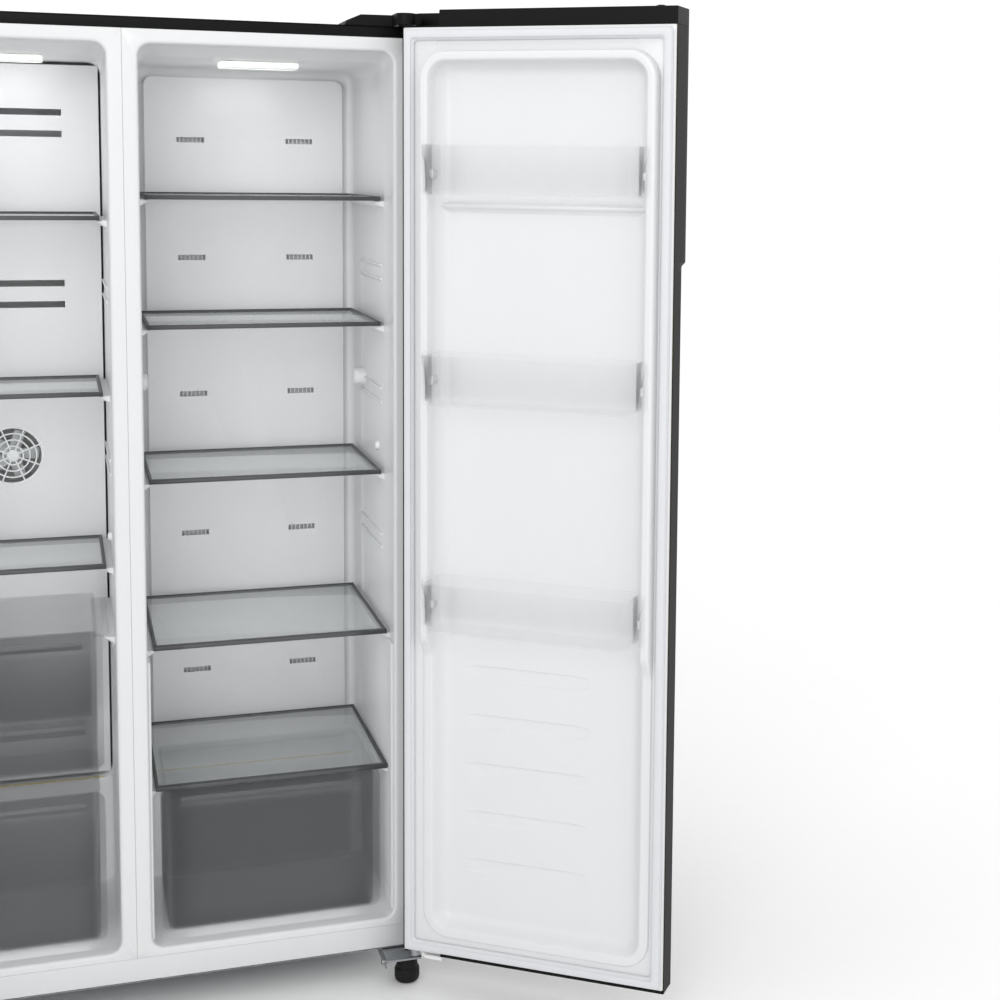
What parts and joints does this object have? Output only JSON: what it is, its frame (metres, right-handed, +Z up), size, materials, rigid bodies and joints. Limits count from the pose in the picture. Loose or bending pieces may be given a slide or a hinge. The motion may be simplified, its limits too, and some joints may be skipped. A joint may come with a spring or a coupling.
{
  "type": "side by side refrigerator",
  "caption": "Free-standing refrigerator with a freezer and a fresh food compartment side by side, full-height hinged doors with bins, glass shelves and drawers.",
  "frame": {"origin": "middle of the footprint on the floor, with both doors open", "axes": "+X to the right seen from the front, -Y out of the front, +Z up"},
  "size_m": [1.643, 0.9352, 1.789],
  "materials": {
    "foam": "matte",
    "white_liner": "satin",
    "black_steel": "gloss",
    "compressor_steel": "satin",
    "black_plastic": "satin",
    "white_steel": "satin",
    "galvanised_steel": "satin",
    "zinc_steel": "satin",
    "copper_tube": "satin",
    "aluminium_fins": "satin",
    "white_plastic": "satin",
    "gasket_vinyl": "matte",
    "clear_plastic": "gloss",
    "shelf_glass": "gloss"
  },
  "bodies": {
    "cabinet": {"fridge_liner": "white_liner", "freezer_liner": "white_liner", "outer_wrapper": "black_steel", "top_front_trim": "black_plastic", "bottom_front_rail": "white_steel", "base_plate": "galvanised_steel", "cabinet_foam": "foam", "back_panel": "galvanised_steel", "machine_cover": "galvanised_steel", "mains_inlet": "black_plastic", "compressor": "compressor_steel", "condenser": "copper_tube", "drain_pan": "black_plastic", "fridge_air_duct": "white_liner", "freezer_air_cover": "white_liner", "evaporator": "aluminium_fins", "fridge_lamp_cover": "clear_plastic", "freezer_lamp_cover": "clear_plastic", "fridge_shelf_1": "shelf_glass", "fridge_shelf_2": "shelf_glass", "fridge_shelf_3": "shelf_glass", "fridge_shelf_4": "shelf_glass", "crisper_cover": "shelf_glass", "freezer_shelf_1": "shelf_glass", "freezer_shelf_2": "shelf_glass", "freezer_shelf_3": "shelf_glass", "fridge_top_hinge": "zinc_steel", "fridge_hinge_cover": "black_plastic", "fridge_bottom_hinge": "zinc_steel", "freezer_top_hinge": "zinc_steel", "freezer_hinge_cover": "black_plastic", "freezer_bottom_hinge": "zinc_steel"},
    "fridge_door": {"fridge_door_skin": "black_steel", "fridge_door_liner": "white_liner", "fridge_door_foam": "foam", "fridge_door_top_cap": "black_plastic", "fridge_door_bottom_cap": "black_plastic", "fridge_door_stop": "white_plastic", "fridge_door_gasket": "gasket_vinyl", "fridge_door_bin_1": "clear_plastic", "fridge_door_bin_2": "clear_plastic", "fridge_door_bin_3": "clear_plastic"},
    "freezer_door": {"freezer_door_skin": "black_steel", "freezer_door_liner": "white_liner", "freezer_door_foam": "foam", "freezer_door_top_cap": "black_plastic", "freezer_door_bottom_cap": "black_plastic", "freezer_door_stop": "white_plastic", "freezer_door_gasket": "gasket_vinyl", "freezer_door_bin_1": "clear_plastic", "freezer_door_bin_2": "clear_plastic", "freezer_door_bin_3": "clear_plastic"},
    "evaporator_fan": {"evaporator_fan": "white_plastic"},
    "crisper_drawer": {"crisper_drawer": "clear_plastic"},
    "freezer_upper_drawer": {"freezer_upper_drawer": "clear_plastic"},
    "freezer_lower_drawer": {"freezer_lower_drawer": "clear_plastic"},
    "fridge_foot": {"fridge_foot": "black_plastic"},
    "fridge_rear_roller": {"fridge_rear_roller": "black_plastic"},
    "freezer_foot": {"freezer_foot": "black_plastic"},
    "freezer_rear_roller": {"freezer_rear_roller": "black_plastic"}
  },
  "joints": [
    {"name": "fridge_door_hinge", "type": "hinge", "parent": "cabinet", "child": "fridge_door", "pos_m": [0.40307, -0.13236, 0.9], "axis": [0, 0, 1], "range_deg": [-143, 0]},
    {"name": "freezer_door_hinge", "type": "hinge", "parent": "cabinet", "child": "freezer_door", "pos_m": [-0.48293, -0.13236, 0.9], "axis": [0, 0, -1], "range_deg": [-143, 0]},
    {"name": "crisper_slide", "type": "slide", "parent": "cabinet", "child": "crisper_drawer", "axis": [0, -1, 0], "range_m": [0, 0.2]},
    {"name": "freezer_upper_drawer_slide", "type": "slide", "parent": "cabinet", "child": "freezer_upper_drawer", "axis": [0, -1, 0], "range_m": [0, 0.24]},
    {"name": "freezer_lower_drawer_slide", "type": "slide", "parent": "cabinet", "child": "freezer_lower_drawer", "axis": [0, -1, 0], "range_m": [0, 0.2]},
    {"name": "evaporator_fan_spin", "type": "hinge", "parent": "cabinet", "child": "evaporator_fan", "pos_m": [-0.28643, 0.28664, 0.96], "axis": [0, 1, 0], "continuous": true},
    {"name": "fridge_roller_spin", "type": "hinge", "parent": "cabinet", "child": "fridge_rear_roller", "pos_m": [0.35507, 0.40464, 0.022], "axis": [1, 0, 0], "continuous": true},
    {"name": "freezer_roller_spin", "type": "hinge", "parent": "cabinet", "child": "freezer_rear_roller", "pos_m": [-0.43493, 0.40464, 0.022], "axis": [1, 0, 0], "continuous": true},
    {"name": "fridge_foot_turn", "type": "hinge", "parent": "cabinet", "child": "fridge_foot", "pos_m": [0.39207, -0.10936, 0], "axis": [0, 0, 1], "continuous": true},
    {"name": "freezer_foot_turn", "type": "hinge", "parent": "cabinet", "child": "freezer_foot", "pos_m": [-0.47193, -0.10936, 0], "axis": [0, 0, 1], "continuous": true}
  ]
}
